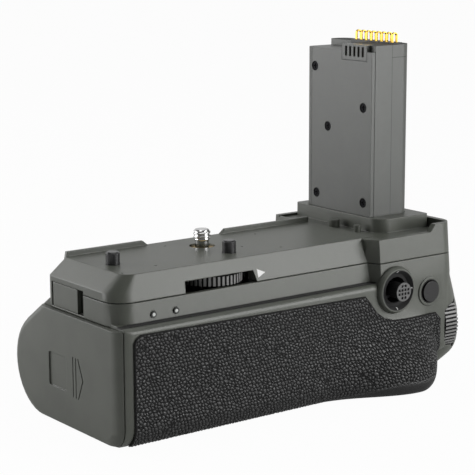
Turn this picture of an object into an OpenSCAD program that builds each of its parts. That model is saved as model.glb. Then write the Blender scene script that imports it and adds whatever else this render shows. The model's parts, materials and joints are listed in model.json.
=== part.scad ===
// Vertical battery grip for a camera: a two-part moulded housing with a battery tower,
// a geared attachment screw, a slide-and-swing battery door and a full set of controls.
// +X runs along the length to the shutter end, +Y to the front of the camera, +Z up.
// The origin is the mouth of the tripod socket in the base.

/* [Housing] */
// Distance from the socket to the left end
body_left = 70.5; // [66:0.5:80]
// Distance from the socket to the right end wall
body_right = 86; // [84:0.5:96]
// Height of the mounting plate over the base
plate_z = 60; // [59:0.5:66]
// Height of the ledge where the back steps in
ledge_z = 43.4; // [43:0.1:44.4]
// Distance of the lower back behind the socket
back_y = 34; // [33:0.5:38]
// Reach of the front hand grip
bulge_y = 39; // [38:0.5:44]
// Radius of the front hand grip
bulge_r = 19.5; // [18:0.5:20.5]
// Thickness of the moulded walls
wall = 2; // [1.6:0.1:2.2]
// Rounding of the back edge at the left end
corner_r = 6; // [4:0.5:7]
// Rounding of the other edges at the left end
edge_r = 3; // [2:0.5:4]
// Rounding at the right end
end_r = 10; // [8:0.5:12]
// Rounding of the heel under the back
heel_r = 9; // [6:0.5:10]
// How far the palm swell stands out of the back
swell_reach = 9; // [4:0.5:11]

/* [Top cover] */
// Height of the parting line under the plate
seam_drop = 9; // [8:0.5:9.5]
// Back edge of the plate, behind the socket
plate_back = 25.6; // [25:0.1:27]
// Front wall of the upper housing
upper_front = 16.2; // [15.5:0.1:18]
// Width of the control pod at the right end
pod_w = 39.5; // [39:0.5:44]
// Front wall of the control pod
pod_front = 35.5; // [34.5:0.5:37]
// Height of the two front rails
rail_h = 1.8; // [1:0.1:3]
// Radius of the locating pegs
peg_r = 2.5; // [2:0.1:3]
// Height of the locating pegs
peg_h = 4.5; // [3:0.1:6]

/* [Battery tower] */
// Width of the tower, the thickness of a battery
tower_w = 20.6; // [18:0.1:21]
// Depth of the tower, the width of a battery
tower_d = 40.2; // [38:0.1:41]
// Height of the tower over its collar
tower_h = 66.3; // [50:0.1:70]
// Height of the collar over the plate
collar_h = 4.4; // [3:0.1:7]
// Thickness of the tower's side cover
cover_t = 1.7; // [1.2:0.1:2.2]
// Pitch of the gold data contacts
data_pitch = 3; // [2.6:0.1:3.1]

/* [Battery bay] */
// Thickness of one battery
battery_t = 20.5; // [18:0.1:20.6]
// Width of one battery
battery_w = 40; // [36:0.1:40.1]
// Length of one battery
battery_l = 56; // [48:0.5:56]
// Thickness of the battery door
door_t = 2.3; // [2:0.1:2.6]
// Travel of the door along its hinge pin
door_travel = 4; // [2:0.5:5]

/* [Attachment screw] */
// Distance of the screw from the socket
screw_back = 12; // [11:0.5:14]
// Radius of the quarter-inch screw
screw_r = 3.175; // [3:0.005:3.3]
// Height of the screw over the plate
screw_h = 6.3; // [4:0.1:8]
// Radius of the knurled lock wheel
wheel_r = 12; // [11.6:0.1:12.2]
// Thickness of the lock wheel's rim
wheel_t = 3.3; // [2.6:0.1:3.4]
// Tooth module of the wheel gear and the pinion
gear_module = 0.9; // [0.86:0.01:0.92]

/* [Controls] */
// Radius of the rear command dial
rear_dial_r = 14; // [13:0.1:14.3]
// Radius of the front command dial
front_dial_r = 11.5; // [10.5:0.1:12]
// Width of both command dials
dial_w = 6.4; // [5:0.1:6.6]
// Radius of the shutter button
shutter_r = 5.8; // [5:0.1:6.2]
// Radius of the rear button
button_r = 4; // [3:0.1:4.4]
// Outer radius of the joystick's bezel
bezel_r = 9.1; // [8.8:0.1:9.4]
// Radius of the joystick's cap
cap_r = 3.6; // [3:0.1:3.8]

/* [Hidden] */
$fn = 64;

// Fits that mating pieces share
run = 0.06;   // radial clearance of a running fit
gap = 0.3;    // room between pieces that move apart
part_gap = 0.1;   // open line between pieces that are fixed together
seam_gap = 0.3;   // open line between the two halves of the housing
big = 200;
eps = 0.01;

seam_z = plate_z - seam_drop;
plate_t = 2;
bay_tail = 14.5;
front_x = -max(body_left, battery_l + bay_tail);
shell_x = front_x + door_t + gap;
bulge_end = 56;
ledge_r = 2.2;
swell_z = 10;
swell_h = 11;
swell_from = body_right - 66;
swell_full = body_right - 25;
lower_end = body_right - 3;
lower_r = 16;
heel_thin = 4;
bulge_c = [bulge_y - bulge_r, bulge_r];

// Upper housing: plan limits at the heights where its walls change slope
panel_seam = plate_back + 2.9;
panel_low = plate_back + 4;
roof_drop = 6;
roof_run = 6;
upper_left = front_x + 1.9;
upper_floor = ledge_z - 0.7;
pod_left = body_right - pod_w;
pod_step = 2.6;
pod_lip = 2.6;
pod_r = 7;
pod_floor = 10;
pod_under = 6;
deck_z = plate_z - 1;
rim = 2.5;
rim_top = plate_z - 0.2;

// Battery bay
bay_slack = 0.3;
bay_wall = 1;
bay_floor = 2;
bay_rib = 1.2;
bay_w = 2 * battery_t + bay_rib + 3 * bay_slack;
bay_y0 = -27.2;
bay_y1 = bay_y0 + bay_w;
bay_h = battery_w + bay_slack;
bay_x0 = shell_x + 3;
block_t = 2.4;
bay_x1 = front_x + door_t + gap + battery_l + block_t;
door_top = bay_floor + bay_h + 0.1;
slot_of = [bay_y0 + bay_slack + battery_t / 2, bay_y1 - bay_slack - battery_t / 2];

// Door hinge along the bottom of the left end
hinge_x = shell_x + 0.9;
hinge_z = 1.2;
pin_r = 0.4;
sleeve_r = 0.75;
knuckle_r = 1.1;
sill_r = 0.8;
knuckle_l = 6;
knuckle_at = [-20, 4];

// Lock wheel and attachment screw
screw_x = -screw_back;
wheel_teeth = 21;
pinion_teeth = 19;
mesh_d = gear_module * (wheel_teeth + pinion_teeth) / 2;
mesh_turn = 62.3;
wheel_c = [screw_x - mesh_d * cos(mesh_turn), -mesh_d * sin(mesh_turn)];
rim_z = seam_z + 0.3;
gear_z = seam_z - 2.6;
gear_t = 2.4;
bracket_t = 1.4;
bracket_z = gear_z - 0.3 - bracket_t;
board_t = 1.4;
board_z = bracket_z - 0.3 - board_t;
wheel_pin_r = 1.5;
journal_r = 2;
shank_r = screw_r - 0.55;
thread_z = plate_z + 2.2;
posts = [[screw_x - 22, -2], [screw_x + 13.5, -11], [screw_x - 10, 9.5]];
post_r = 1.8;

// Tower
tower_x0 = body_right - 27.4;
tower_x1 = tower_x0 + tower_w;
tower_y0 = -13.4;
tower_y1 = tower_y0 + tower_d;
collar_z = plate_z + collar_h;
tower_z = collar_z + tower_h;
tower_wall = 1.6;
tower_low = 2.5;
comb_y0 = tower_y0 + 3;
comb_w = 14.6;
comb_h = 6.1;
comb_t = 4;
comb_pitch = 2.45;
comb_slot = 1.15;
carrier_x = tower_x1 - 5.6;
carrier_w = 4.6;
carrier_y = tower_y0 + 2.1;
data_n = 8;
carrier_d = (data_n - 1) * data_pitch + 4;
cover_holes = [[tower_y1 - 6.2, tower_z - 9.9], [tower_y0 + 4.8, tower_z - 24.1],
    [tower_y1 - 14.3, tower_z - 33.2], [tower_y1 - 7.6, collar_z + 5.6], [tower_y0 + 4.3, collar_z + 5.1]];
tower_round = [0.8, 4.5, 4.5, 4];

// Controls
dial_x = body_right - 5.7;
dial_c = [-20.6, 22];
front_dial_x = body_right - 15;
front_dial_c = [bulge_y + 2 - front_dial_r, 24];
dial_pin_r = 1.5;
nose_x = body_right + 8;
nose_r = 11;
shutter_c = [12, 21];
ring_out = 9.4;
neck_r = 6.9;
ring_t = 2.4;
spot = 1;
cavity_end = body_right - 9;
room_end = body_right - 18;
button_c = [body_right - 14.7, 37.2];
stick_c = [body_right - 32.5, 40.2];
stick_pivot = -back_y + 7;
board_y = stick_pivot + 4;
usb_y0 = -4.4;
usb_y1 = 12.8;
usb_z0 = upper_floor + 0.8;
usb_z1 = usb_z0 + 8.5;
usb_t = 1.7;
usb_dip = 0.7;
usb_axis = [upper_left + 0.85, usb_y1 - 0.85];
case_at = [for (x = [10, pod_left - 6.5], y = [-22, 10.5]) [x, y]];
case_r = 1.2;
boss_r = 2.8;
led_at = [front_x + 17, front_x + 26.4];
led_z = ledge_z + 2.5;

// Rows of points and the surfaces made from them
function arc(c, r, a0, a1, n) = [for (i = [0:n]) c + r * [cos(a0 + (a1 - a0) * i / n), sin(a0 + (a1 - a0) * i / n)]];
function inset(d, r) = d >= r ? 0 : r - sqrt(r * r - (r - d) * (r - d));
function ramp(x, a, b) = let (t = min(max((x - a) / (b - a), 0), 1)) t * t * (3 - 2 * t);
function bump(z) = swell_reach * (z < swell_z ? 1 : exp(-pow((z - swell_z) / swell_h, 2)));
function swell_at(x) = ramp(x, swell_from, swell_full) * (1 - ramp(x, swell_full, lower_end));
function at_x(x, list) = [for (p = list) [x, p[0], p[1]]];
function at_z(z, list) = [for (p = list) [p[0], p[1], z]];

// Outline of the back from the ledge to under the heel, drawn in by `back` and pushed out by the swell
function heel_of(swell, cut) = max(heel_r - heel_thin * swell - max(cut, 0), 1);
function back_line(back, low, swell, cut, top) =
    let (rt = max(ledge_r - back, 0.3), rb = heel_of(swell, cut), high = top - rt, heel_z = low + rb)
    concat(
        arc([-back_y + back + rt, high], rt, 90, 180, 4),
        [for (i = [1:7]) let (z = high + (heel_z - high) * i / 8) [-back_y + back - swell * bump(z), z]],
        arc([-back_y + back + rb - swell * bump(heel_z), heel_z], rb, 180, 270, 8));

// Whole section of the lower housing
function section(back, rest, swell, cut) =
    let (rf = bulge_r - rest, last = bulge_c + rf * [cos(bulge_end), sin(bulge_end)],
        run_up = (last[0] - (upper_front - rest)) / sin(bulge_end))
    concat(
        back_line(back, rest, swell, cut, ledge_z),
        arc(bulge_c, rf, 270, 360 + bulge_end, 16),
        [[upper_front - rest, last[1] + run_up * cos(bulge_end)]]);

// Rounded rectangle in plan, radii in the order back-left, back-right, front-right, front-left
function plan(x0, x1, y0, y1, r, n) = concat(
    arc([x0 + r[0], y0 + r[0]], r[0], 180, 270, n), arc([x1 - r[1], y0 + r[1]], r[1], 270, 360, n),
    arc([x1 - r[2], y1 - r[2]], r[2], 0, 90, n), arc([x0 + r[3], y1 - r[3]], r[3], 90, 180, n));

module loft(rings) {
    n = len(rings[0]);
    m = len(rings);
    sides = [for (i = [0:m - 2], j = [0:n - 1]) let (a = i * n + j, b = i * n + (j + 1) % n)
        each [[a, a + n, b + n], [a, b + n, b]]];
    polyhedron(
        points = [for (ring = rings) each ring],
        faces = concat([[for (j = [0:n - 1]) j]], sides, [[for (j = [n - 1:-1:0]) (m - 1) * n + j]]),
        convexity = 8);
}

module along_x(x0, x1) {
    translate([x0, 0, 0]) rotate([90, 0, 90]) linear_extrude(x1 - x0) children();
}

module along_y(y0, y1) {
    translate([0, y1, 0]) rotate([90, 0, 0]) linear_extrude(y1 - y0) children();
}

module rod_x(x0, x1, c, r) {
    translate([x0, c[0], c[1]]) rotate([0, 90, 0]) cylinder(r = r, h = x1 - x0);
}

module rod_y(y0, y1, c, r) {
    translate([c[0], y1, c[1]]) rotate([90, 0, 0]) cylinder(r = r, h = y1 - y0);
}

module rod_z(z0, z1, c, r) {
    translate([c[0], c[1], z0]) cylinder(r = r, h = z1 - z0);
}

module box(x, y, z) {
    translate([x[0], y[0], z[0]]) cube([x[1] - x[0], y[1] - y[0], z[1] - z[0]]);
}

// Solid of the lower housing between two places along its length
function stations(x0, x1) = concat([x0],
    [for (x = concat([for (d = [0.6, 1.6, 3, 4.5, 6]) front_x + d], [0],
        [for (i = [0:6]) swell_from + (swell_full - swell_from) * i / 6],
        [for (d = [20, 18, 16, 14, 12, 10, 8, 6, 4, 2.5, 1.2, 0.4]) lower_end - d]))
        if (x > x0 + 0.05 && x < x1 - 0.05) x], [x1]);
function lower_ring(x) =
    let (left = x - front_x, corner = inset(left, corner_r), rest = inset(left, edge_r) + inset(lower_end - x, end_r))
    at_x(x, section(corner + inset(lower_end - x, lower_r), rest, swell_at(x), max(corner, rest)));

module lower_form(x0, x1) {
    loft([for (x = stations(x0, x1)) lower_ring(x)]);
}

// Upper housing left of the pod, between two heights
function upper_ring(z) =
    let (roof = max(z - (plate_z - roof_drop), 0) / roof_drop,
        back = z < seam_z
            ? panel_low + (panel_seam - panel_low) * (z - upper_floor) / (seam_z - upper_floor)
            : panel_seam + (plate_back - panel_seam) * (z - seam_z) / seam_drop)
    at_z(z, plan(upper_left + roof * roof_run, pod_left + 20, -back, upper_front - 1.7 * roof,
        [8 - 3 * roof, 0.4, 0.4, 2.5], 4));

// Control pod at the right end, between two heights, rounded underneath
function pod_under_at(z) = inset(max(z - pod_floor, 0), pod_under);
function pod_ring(z) =
    let (rise = max(z - ledge_z, 0) / (plate_z - ledge_z), under = pod_under_at(z), right = body_right - under,
        back = back_y + 0.05 - 1.6 * rise - under, front = pod_front - 1.5 * rise - under)
    at_z(z, concat([[pod_left - pod_step, -panel_low + 1.6], [pod_left, -back]],
        arc([right - pod_r, pod_r - back], pod_r, 270, 360, 8),
        arc([right - end_r, front - end_r], end_r, 0, 90, 6),
        [[pod_left + 3, front], [pod_left - pod_step, 0]]));

// Room for the USB cover, its finger notch and its knuckle, cut through both halves of the housing
module usb_recess() {
    box([upper_left - 3, upper_left + usb_t + gap], [usb_y0 - 3.8, usb_axis[1]], [usb_z0 - 0.2, usb_z1 + 0.2]);
    box([upper_left - 3, usb_axis[0]], [usb_axis[1] - 1, usb_y1 + gap], [usb_z0 - 0.2, usb_z1 + 0.2]);
    rod_z(usb_z0 - 0.2, usb_z1 + 0.2, usb_axis, 0.85 + gap);
    rod_z(usb_z0 - usb_dip, usb_z1 + 1.4, usb_axis, pin_r);
}

module gear_outline(teeth, half) {
    pitch_r = gear_module * teeth / 2;
    polygon([for (i = [0:teeth - 1], k = [[-half - 0.3, -0.95], [-half, -0.1], [-half + 0.28, 0.75],
        [half - 0.28, 0.75], [half, -0.1], [half + 0.3, -0.95]])
        let (r = pitch_r + k[1] * gear_module, a = 360 * i / teeth + k[0] * gear_module / pitch_r * 180 / PI)
        r * [cos(a), sin(a)]]);
}

module ribbed_outline(r, ribs, depth) {
    polygon([for (i = [0:ribs - 1], k = [[0, 0], [0.1, -1], [0.4, -1], [0.5, 0]])
        (r + depth * k[1]) * [cos(360 * (i + k[0]) / ribs), sin(360 * (i + k[0]) / ribs)]]);
}

// Lower half of the housing
module nose() {
    hull() {
        for (z = [16.5, 25]) translate([nose_x - nose_r, -22, z]) sphere(r = nose_r, $fn = 40);
        translate([body_right - 6.5, -26.5, ledge_z - 2.4]) sphere(r = pod_r, $fn = 32);
        for (z = [12, 30]) translate([nose_x - 10, 22, z]) sphere(r = 10, $fn = 32);
        box([cavity_end, cavity_end + 1], [-28, 30], [4, 38]);
    }
}

module housing_room(z1) {
    along_x(bay_x0 - eps, room_end) polygon(section(wall, wall, 0, wall));
    box([room_end - 1, cavity_end], [-24, 28], [7, ledge_z - 7]);
    box([room_end - 1, cavity_end], [-back_y + wall, 0], [ledge_z - 12, ledge_z - 0.2]);
    box([bay_x0 - eps, pod_left + 6], [-panel_low + wall + 1, upper_front - wall], [ledge_z - 4, z1]);
    box([pod_left + 5.5, cavity_end], [-back_y + wall + 1.6, pod_front - wall - 1.5], [ledge_z - 12, z1]);
}

module main_shell() {
    color([0.33, 0.34, 0.33]) difference() {
        union() {
            difference() {
                union() {
                    lower_form(shell_x, lower_end);
                    loft([for (z = [upper_floor, seam_z - seam_gap]) upper_ring(z)]);
                    loft([for (z = concat([for (d = [0, 0.4, 1.2, 2.5, 4, 6]) pod_floor + d],
                        [ledge_z, seam_z - seam_gap])) pod_ring(z)]);
                    nose();
                }
                housing_room(seam_z + eps);
                box([bay_x0 - part_gap, bay_x1 + bay_wall + 0.1], [bay_y0 - bay_wall - 0.1, bay_y1 + bay_wall + 0.1],
                    [bay_floor - bay_wall, bay_floor + bay_h + bay_wall + 0.1]);
            }
            rod_z(0.5, 7.2, [0, 0], 7.6);
            for (p = case_at) rod_z(0.5, seam_z - seam_gap, p, boss_r);
            for (x = [front_dial_x - 1.7, front_dial_x + dial_w + gap]) box([x, x + 1.4], [20, bulge_y - 1.5], [18, 30]);
            rod_y(-back_y - 0.5, -back_y + 1, button_c, button_r + 1.7);
            rod_x(cavity_end, nose_x + 0.8, shutter_c, neck_r);
        }
        box([shell_x - 1, bay_x0], [bay_y0, bay_y1], [bay_floor, bay_floor + bay_h]);
        rod_z(-1, 8, [0, 0], 6);
        for (p = case_at) {
            rod_z(-1, 2, p, 2.4);
            rod_z(1, seam_z, p, case_r);
        }
        usb_recess();
        box([bay_x0 - 4, bay_x0 + 1], [0.3, 9.3], [board_z + board_t, board_z + board_t + 3.4]);
        for (x = led_at) rod_y(-panel_low - 2, -20, [x, led_z], 1.15);
        rod_y(-back_y - 3, -back_y + 10.6, stick_c, bezel_r - 1.6);
        rod_y(-back_y - 3, -back_y + 6, button_c, button_r + 0.25);
        rod_x(dial_x - gap, dial_x + dial_w + gap, dial_c, rear_dial_r + 0.6);
        rod_y(-back_y - 6, -back_y - 0.06, stick_c, bezel_r + part_gap);
        rod_x(dial_x - 2.5, nose_x - 0.7, dial_c, dial_pin_r);
        rod_x(front_dial_x - gap, front_dial_x + dial_w + gap, front_dial_c, front_dial_r + 0.6);
        rod_x(front_dial_x - 1.8, front_dial_x + dial_w + 2, front_dial_c, dial_pin_r);
        rod_x(cavity_end - 1, nose_x + 5, shutter_c, shutter_r + 0.2);
        rod_x(cavity_end - 1, cavity_end + 4.6, shutter_c, shutter_r + 1.4);
        difference() {
            rod_x(nose_x - spot, nose_x + 5, shutter_c, ring_out + 0.4);
            rod_x(0, nose_x + 0.8, shutter_c, neck_r);
        }
        difference() {
            box([shell_x - 1, hinge_x], [-big, big], [-1, hinge_z]);
            rod_y(-big, big, [hinge_x, hinge_z], sill_r);
        }
        for (y = knuckle_at) box([shell_x - 3, hinge_x + knuckle_r + gap],
            [y - door_travel - gap - sleeve_r, y + knuckle_l + gap + sleeve_r], [-1, hinge_z + knuckle_r + gap]);
        rod_y(knuckle_at[0] - door_travel - 4, knuckle_at[1] + knuckle_l + 4, [hinge_x, hinge_z], pin_r);
    }
}

// Upper half of the housing: mounting plate, slanted panel, control deck and tower collar
module wheel_slot() {
    along_y(-back_y, -plate_back + 4) polygon([[screw_x - 27.5, seam_z - 1], [screw_x - 26.8, seam_z + 4],
        [screw_x + 3, seam_z + 4], [screw_x + 4.2, seam_z - 1]]);
}

module tower_outline(grow) {
    polygon(plan(tower_x0 - grow, tower_x1 + grow, tower_y0 - grow, tower_y1 + grow,
        [for (r = tower_round) r + grow], 6));
}

module rail(x0, x1, slope0, slope1) {
    along_y(upper_front - 3, upper_front - 1.7)
        polygon([[x0, plate_z - 1], [x0 + slope0, plate_z + rail_h], [x1 - slope1, plate_z + rail_h], [x1, plate_z - 1]]);
}

module top_cover() {
    color([0.36, 0.37, 0.36]) difference() {
        union() {
            difference() {
                union() {
                    loft([for (z = [seam_z, plate_z - roof_drop, plate_z]) upper_ring(z)]);
                    difference() {
                        loft([for (z = [seam_z, plate_z + pod_lip]) pod_ring(z)]);
                        along_y(-back_y - 5, pod_front + 5) polygon([[pod_left - 9, rim_top],
                            [body_right - 13, rim_top], [body_right - 9.5, plate_z + pod_lip + 1],
                            [pod_left - 9, plate_z + pod_lip + 1]]);
                    }
                }
                box([pod_left + rim, body_right - rim], [-back_y + 1.6 + rim, pod_front - 1.5 - rim], [deck_z, big]);
                box([front_x + roof_run + 4, pod_left + 2], [-plate_back + 1.8, upper_front - 3.7], [0, plate_z - plate_t]);
                box([front_x + 5.5, front_x + roof_run + 5], [-plate_back + 1.8, upper_front - 3.7], [0, plate_z - roof_drop]);
                box([pod_left + 5.5, body_right - 4], [-back_y + 5, pod_front - 4], [0, deck_z - plate_t]);
            }
            translate([0, 0, deck_z - 0.5]) linear_extrude(collar_z - deck_z + 0.5)
                polygon(plan(tower_x0 - 1.1, body_right - 3.2, tower_y0 - 7, tower_y1 + 4.6, [6, 1, 3, 2], 6));
            rail(front_x + 8, screw_x - 14, 0.6, 3.4);
            rail(screw_x + 17, pod_left + 3, 3.4, 0.1);
            rod_z(rim_z + wheel_t + 0.4, plate_z - plate_t / 2, wheel_c, 3.2);
            for (p = case_at) rod_z(seam_z, plate_z - plate_t / 2, p, boss_r);
            rod_z(deck_z - 0.5, plate_z + 2, [tower_x0 - 5, 2.2], 2.2);
            rod_z(deck_z - 0.5, plate_z + 1.6, [tower_x0 - 4.3, -11], 1.4);
        }
        wheel_slot();
        usb_recess();
        translate([0, 0, seam_z - 1]) linear_extrude(big) tower_outline(part_gap);
        rod_z(plate_z - 3, plate_z + 1, [screw_x, 0], 4.8);
        rod_z(seam_z, plate_z - plate_t / 2, wheel_c, wheel_pin_r);
        for (p = case_at) rod_z(seam_z - 1, plate_z - plate_t - 1, p, case_r);
        for (p = peg_at) {
            rod_z(plate_z - plate_t - 1, plate_z + 1, p, peg_root + part_gap / 2);
            rod_z(plate_z - 0.4, plate_z + 1, p, peg_r + part_gap / 2);
        }
        for (p = plate_marks) rod_z(plate_z - 0.6, plate_z + 1, p, 0.45);
    }
}

peg_root = peg_r - 0.8;
peg_at = [[screw_x - 43.5, -7.1], [screw_x + 1, -15.5]];
plate_marks = [[screw_x - 11.4, 7.6], [screw_x - 33, -18.4], [screw_x - 49, -21.6], [screw_x + 10.6, -10.5],
    [screw_x + 28.8, 5.4], [screw_x + 21.4, -20]];

module locating_pegs() {
    color([0.25, 0.26, 0.25]) for (p = peg_at) {
        rod_z(plate_z - plate_t, plate_z + 0.1, p, peg_root);
        rod_z(plate_z, plate_z + peg_h - 0.5, p, peg_r);
        translate([p[0], p[1], plate_z + peg_h - 0.5]) cylinder(r1 = peg_r, r2 = peg_r - 0.5, h = 0.5);
    }
}

// Rubber inlays
rubber_in = 0.25;
rubber_out = 0.9;
rubber_x0 = front_x + 5.5;
rubber_x1 = body_right - 8.5;

// Top edge of the rear inlay: it runs under the ledge, dips round the joystick and ends by the dial
function rubber_top(x) = lookup(x, [[rubber_x0, ledge_z - 5.4], [rubber_x0 + 1, ledge_z - 3.4],
    [rubber_x0 + 3, ledge_z - 2.3], [swell_from, ledge_z - 3.3], [stick_c[0] - 15, ledge_z - 3.6],
    [stick_c[0] - 12.5, ledge_z - 6.5], [stick_c[0] - 9.5, ledge_z - 10.4], [stick_c[0] - 5.5, ledge_z - 13.4],
    [stick_c[0] - 1, ledge_z - 14.7], [stick_c[0] + 5, ledge_z - 15], [rubber_x1 - 3, ledge_z - 15],
    [rubber_x1, ledge_z - 18]]);
function rubber_line(x, out) =
    let (corner = inset(x - front_x, corner_r), low = inset(lower_end - x, end_r), swell = swell_at(x),
        back = corner + inset(lower_end - x, lower_r), rb = heel_of(swell, max(corner, low)), heel_z = low + rb,
        top = rubber_top(x))
    concat(
        [for (i = [0:9]) let (z = top + (heel_z - top) * i / 10, skin = -back_y + back - swell * bump(z))
            [(x > pod_left ? min(skin, pod_under_at(z) - back_y - 0.05) : skin) - out, z]],
        arc([-back_y + back + rb - swell * bump(heel_z), heel_z], rb + out, 180, 240, 6));

module rear_grip_rubber() {
    marks = concat([for (d = [0, 1, 3]) rubber_x0 + d], [0], [for (d = [0, 7, 13]) swell_from + d],
        [for (d = [-15, -12.5, -9.5, -5.5, -1, 5]) stick_c[0] + d],
        [for (d = [16, 13.5, 11, 8.5, 6.5, 4.5, 3, 1.5, 0.5, 0]) rubber_x1 - d]);
    color([0.11, 0.11, 0.12]) difference() {
        loft([for (i = [0:len(marks) - 1]) if (i == 0 || marks[i] > marks[i - 1])
            let (x = marks[i], outer = rubber_line(x, rubber_out), inner = rubber_line(x, rubber_in))
            at_x(x, concat(outer, [for (k = [len(inner) - 1:-1:0]) inner[k]]))]);
        along_y(-back_y - 30, 0) polygon([[rubber_x1 + 1, 10], [rubber_x1 - 0.6, 9], [rubber_x1 - 3.5, 4],
            [rubber_x1 - 5, -5], [rubber_x1 + 1, -5]]);
    }
}

module front_grip_rubber() {
    color([0.11, 0.11, 0.12]) along_x(front_x + 8, pod_left + 1)
        polygon(concat(arc(bulge_c, bulge_r + rubber_out, -62, bulge_end, 14),
            arc(bulge_c, bulge_r + rubber_in, bulge_end, -62, 14)));
}

// Fasteners and the tripod socket
module case_screws() {
    color([0.2, 0.2, 0.2]) for (p = case_at) difference() {
        union() {
            rod_z(0.6, 2, p, 2.2);
            rod_z(1.9, plate_z - plate_t - 2, p, case_r);
        }
        rod_z(0, 1.3, p, 0.8, $fn = 6);
    }
}

module tripod_bush() {
    color([0.72, 0.72, 0.7]) difference() {
        rod_z(0, 7, [0, 0], 6);
        rod_z(-1, 8, [0, 0], 2.6);
    }
}

// Battery bay and its contacts
module battery_bay() {
    color([0.16, 0.16, 0.17]) {
        difference() {
            box([bay_x0, bay_x1 + bay_wall], [bay_y0 - bay_wall, bay_y1 + bay_wall],
                [bay_floor - bay_wall + 0.05, bay_floor + bay_h + bay_wall]);
            box([bay_x0 - 1, bay_x1], [bay_y0, bay_y1], [bay_floor, bay_floor + bay_h]);
        }
        box([bay_x0 + 2, bay_x1 + 0.1], [slot_of[0] + battery_t / 2 + bay_slack, slot_of[1] - battery_t / 2 - bay_slack],
            [bay_floor - 0.1, bay_floor + bay_h + 0.1]);
    }
}

block_z = bay_floor + bay_h - 13;
block_w = 13;
block_h = 9;

module battery_contact_blocks() {
    color([0.1, 0.1, 0.1]) for (y = slot_of) difference() {
        box([bay_x1 - block_t, bay_x1], [y - block_w / 2, y + block_w / 2], [block_z, block_z + block_h]);
        for (k = [-1.5:1:1.5]) box([bay_x1 - block_t - 1, bay_x1 - 0.8], [y + 2.8 * k - 0.6, y + 2.8 * k + 0.6],
            [block_z + 1.5, block_z + block_h + 1]);
    }
}

module battery_contact_blades() {
    color([0.85, 0.68, 0.3]) for (y = slot_of, k = [-1.5:1:1.5])
        box([bay_x1 - block_t + 0.4, bay_x1 - 0.8], [y + 2.8 * k - 0.25, y + 2.8 * k + 0.25],
            [block_z + 1.5, block_z + block_h - 0.6]);
}

module eject_springs() {
    color([0.75, 0.75, 0.76]) for (y = slot_of) along_y(y - 4, y + 4)
        polygon(concat(arc([bay_x1 - 12, bay_floor + 12], 12, -75, 0, 8),
            arc([bay_x1 - 12, bay_floor + 12], 11.6, 0, -75, 8)));
}

// Boards, port and light pipes
module main_board() {
    color([0.05, 0.25, 0.14]) {
        box([bay_x0 + 1, pod_left - 2], [-18.6, 7.4], [board_z, board_z + board_t]);
        for (x = [bay_x0 + 6, bay_x1 - 6], y = [-14, 4]) rod_z(bay_floor + bay_h + bay_wall, board_z + 0.1, [x, y], 1.6);
    }
}

module usb_port() {
    port_c = [4.8, board_z + board_t + 1.7];
    color([0.7, 0.7, 0.72]) {
        difference() {
            along_x(bay_x0 - 1, bay_x0 + 7) translate(port_c) port_outline(0);
            along_x(bay_x0 - 2, bay_x0 + 6) translate(port_c) port_outline(0.35);
        }
        box([bay_x0 - 0.4, bay_x0 + 6.2], [port_c[0] - 3, port_c[0] + 3], [port_c[1] - 0.35, port_c[1] + 0.35]);
    }
}

module port_outline(thin) {
    polygon(plan(thin - 4.4, 4.4 - thin, thin - 1.65, 1.65 - thin, [for (i = [1:4]) 1.5 - thin], 6));
}

module led_pipes() {
    color([0.85, 0.88, 0.85]) for (x = led_at) rod_y(-panel_low - 0.1, -18.7, [x, led_z], 1.1);
}

// Lock wheel, gear and attachment screw
module gear_bracket() {
    color([0.6, 0.6, 0.62]) difference() {
        union() {
            box([screw_x - 25, screw_x + 16.5], [-20, 12], [bracket_z, bracket_z + bracket_t]);
            for (p = posts) rod_z(bracket_z, plate_z - plate_t, p, post_r);
        }
        rod_z(0, big, [screw_x, 0], journal_r + run);
        rod_z(0, big, wheel_c, wheel_pin_r);
    }
}

module wheel_pin() {
    color([0.75, 0.75, 0.77]) rod_z(bracket_z, plate_z - plate_t / 2, wheel_c, wheel_pin_r);
}

module screw_bush() {
    color([0.6, 0.55, 0.42]) difference() {
        union() {
            rod_z(plate_z - plate_t - 1.5, plate_z - plate_t, [screw_x, 0], 6.4);
            rod_z(plate_z - plate_t, plate_z - 0.8, [screw_x, 0], 4.8);
        }
        rod_z(0, big, [screw_x, 0], shank_r + run);
    }
}

module lock_wheel() {
    color([0.1, 0.1, 0.1]) translate([wheel_c[0], wheel_c[1], 0]) difference() {
        union() {
            translate([0, 0, rim_z]) linear_extrude(wheel_t) ribbed_outline(wheel_r, 44, 0.45);
            translate([0, 0, gear_z]) rotate([0, 0, mesh_turn]) linear_extrude(gear_t) gear_outline(wheel_teeth, 0.56);
            translate([0, 0, gear_z]) cylinder(r = 7, h = rim_z - gear_z + 0.5);
        }
        cylinder(r = wheel_pin_r + run, h = big);
    }
}

module attachment_screw() {
    color([0.85, 0.85, 0.86]) {
        rod_z(bracket_z + 0.1, gear_z, [screw_x, 0], journal_r);
        rod_z(gear_z, thread_z + 0.1, [screw_x, 0], shank_r);
        rod_z(thread_z, plate_z + screw_h - 0.7, [screw_x, 0], screw_r);
        translate([screw_x, 0, plate_z + screw_h - 0.7]) cylinder(r1 = screw_r, r2 = screw_r - 0.7, h = 0.7);
    }
}

module screw_pinion() {
    color([0.7, 0.7, 0.72]) translate([screw_x, 0, gear_z]) difference() {
        union() {
            rotate([0, 0, mesh_turn + 180 + 180 / pinion_teeth]) linear_extrude(gear_t) gear_outline(pinion_teeth, 0.56);
            cylinder(r = 5, h = plate_z - plate_t - 1.5 - gear_z - gap);
        }
        translate([0, 0, -1]) cylinder(r = shank_r, h = big);
    }
}

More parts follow.
